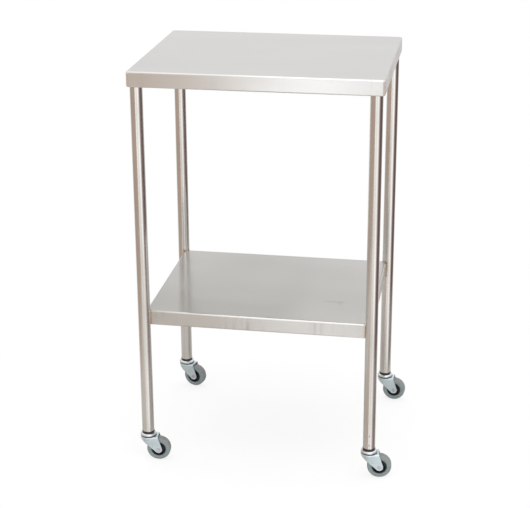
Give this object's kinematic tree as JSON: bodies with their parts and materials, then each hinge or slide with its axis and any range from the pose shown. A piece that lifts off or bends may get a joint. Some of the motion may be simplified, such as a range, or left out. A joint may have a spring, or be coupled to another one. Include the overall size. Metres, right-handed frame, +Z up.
{
  "type": "instrument table",
  "caption": "Two-tier stainless steel instrument table: folded sheet top and shelf on four round tube legs with swivel casters.",
  "frame": {"origin": "on the floor, under the centre of the table top", "axes": "+Z up, +X along the top's long side to the user's right, +Y away from the user to the rear"},
  "size_m": [0.5391, 0.4066, 0.854],
  "materials": {
    "top_sheet": "satin brushed stainless sheet",
    "shelf_sheet": "satin brushed stainless sheet",
    "brace_steel": "folded stainless sheet",
    "leg_tube": "polished stainless tube",
    "weld": "ground weld bead",
    "socket_plastic": "black moulded plastic",
    "stem_steel": "bright zinc plate",
    "spring_steel": "spring steel",
    "ball_steel": "polished bearing steel",
    "fork_zinc": "bright zinc-plated pressed steel",
    "rivet_steel": "zinc-plated rivet",
    "hub_plastic": "black moulded plastic",
    "tyre_rubber": "grey non-marking rubber"
  },
  "bodies": {
    "table_frame": {"top_panel": "top_sheet", "shelf_panel": "shelf_sheet", "top_brace": "brace_steel", "shelf_brace": "brace_steel", "shelf_welds": "weld", "leg_front_left": "leg_tube", "corner_gusset_front_left": "brace_steel", "leg_front_right": "leg_tube", "corner_gusset_front_right": "brace_steel", "leg_rear_left": "leg_tube", "corner_gusset_rear_left": "brace_steel", "leg_rear_right": "leg_tube", "corner_gusset_rear_right": "brace_steel", "tube_socket_front_left": "socket_plastic", "tube_socket_front_right": "socket_plastic", "tube_socket_rear_left": "socket_plastic", "tube_socket_rear_right": "socket_plastic", "stem_front_left": "stem_steel", "stem_front_right": "stem_steel", "stem_rear_left": "stem_steel", "stem_rear_right": "stem_steel", "grip_ring_front_left": "spring_steel", "grip_ring_front_right": "spring_steel", "grip_ring_rear_left": "spring_steel", "grip_ring_rear_right": "spring_steel", "bearing_cup_front_left": "stem_steel", "bearing_cup_front_right": "stem_steel", "bearing_cup_rear_left": "stem_steel", "bearing_cup_rear_right": "stem_steel", "swivel_washer_front_left": "spring_steel", "swivel_washer_front_right": "spring_steel", "swivel_washer_rear_left": "spring_steel", "swivel_washer_rear_right": "spring_steel", "swivel_balls_front_left": "ball_steel", "swivel_balls_front_right": "ball_steel", "swivel_balls_rear_left": "ball_steel", "swivel_balls_rear_right": "ball_steel"},
    "caster_fork_front_left": {"fork_front_left": "fork_zinc", "axle_front_left": "rivet_steel", "axle_sleeve_front_left": "rivet_steel"},
    "wheel_front_left": {"hub_front_left": "hub_plastic", "tyre_front_left": "tyre_rubber"},
    "caster_fork_front_right": {"fork_front_right": "fork_zinc", "axle_front_right": "rivet_steel", "axle_sleeve_front_right": "rivet_steel"},
    "wheel_front_right": {"hub_front_right": "hub_plastic", "tyre_front_right": "tyre_rubber"},
    "caster_fork_rear_left": {"fork_rear_left": "fork_zinc", "axle_rear_left": "rivet_steel", "axle_sleeve_rear_left": "rivet_steel"},
    "wheel_rear_left": {"hub_rear_left": "hub_plastic", "tyre_rear_left": "tyre_rubber"},
    "caster_fork_rear_right": {"fork_rear_right": "fork_zinc", "axle_rear_right": "rivet_steel", "axle_sleeve_rear_right": "rivet_steel"},
    "wheel_rear_right": {"hub_rear_right": "hub_plastic", "tyre_rear_right": "tyre_rubber"}
  },
  "joints": [
    {"name": "swivel_front_left", "type": "hinge", "parent": "table_frame", "child": "caster_fork_front_left", "pos_m": [-0.2371, -0.1863, 0.056], "axis": [0, 0, 1], "continuous": true},
    {"name": "roll_front_left", "type": "hinge", "parent": "caster_fork_front_left", "child": "wheel_front_left", "pos_m": [-0.21497, -0.18448, 0.0254], "axis": [-0.0819, 0.9966, 0], "continuous": true},
    {"name": "swivel_front_right", "type": "hinge", "parent": "table_frame", "child": "caster_fork_front_right", "pos_m": [0.2371, -0.1863, 0.056], "axis": [0, 0, 1], "continuous": true},
    {"name": "roll_front_right", "type": "hinge", "parent": "caster_fork_front_right", "child": "wheel_front_right", "pos_m": [0.25918, -0.18398, 0.0254], "axis": [-0.1045, 0.9945, 0], "continuous": true},
    {"name": "swivel_rear_left", "type": "hinge", "parent": "table_frame", "child": "caster_fork_rear_left", "pos_m": [-0.2371, 0.1863, 0.056], "axis": [0, 0, 1], "continuous": true},
    {"name": "roll_rear_left", "type": "hinge", "parent": "caster_fork_rear_left", "child": "wheel_rear_left", "pos_m": [-0.21554, 0.181, 0.0254], "axis": [0.2385, 0.9711, 0], "continuous": true},
    {"name": "swivel_rear_right", "type": "hinge", "parent": "table_frame", "child": "caster_fork_rear_right", "pos_m": [0.2371, 0.1863, 0.056], "axis": [0, 0, 1], "continuous": true},
    {"name": "roll_rear_right", "type": "hinge", "parent": "caster_fork_rear_right", "child": "wheel_rear_right", "pos_m": [0.25925, 0.18487, 0.0254], "axis": [0.0645, 0.9979, 0], "continuous": true}
  ]
}
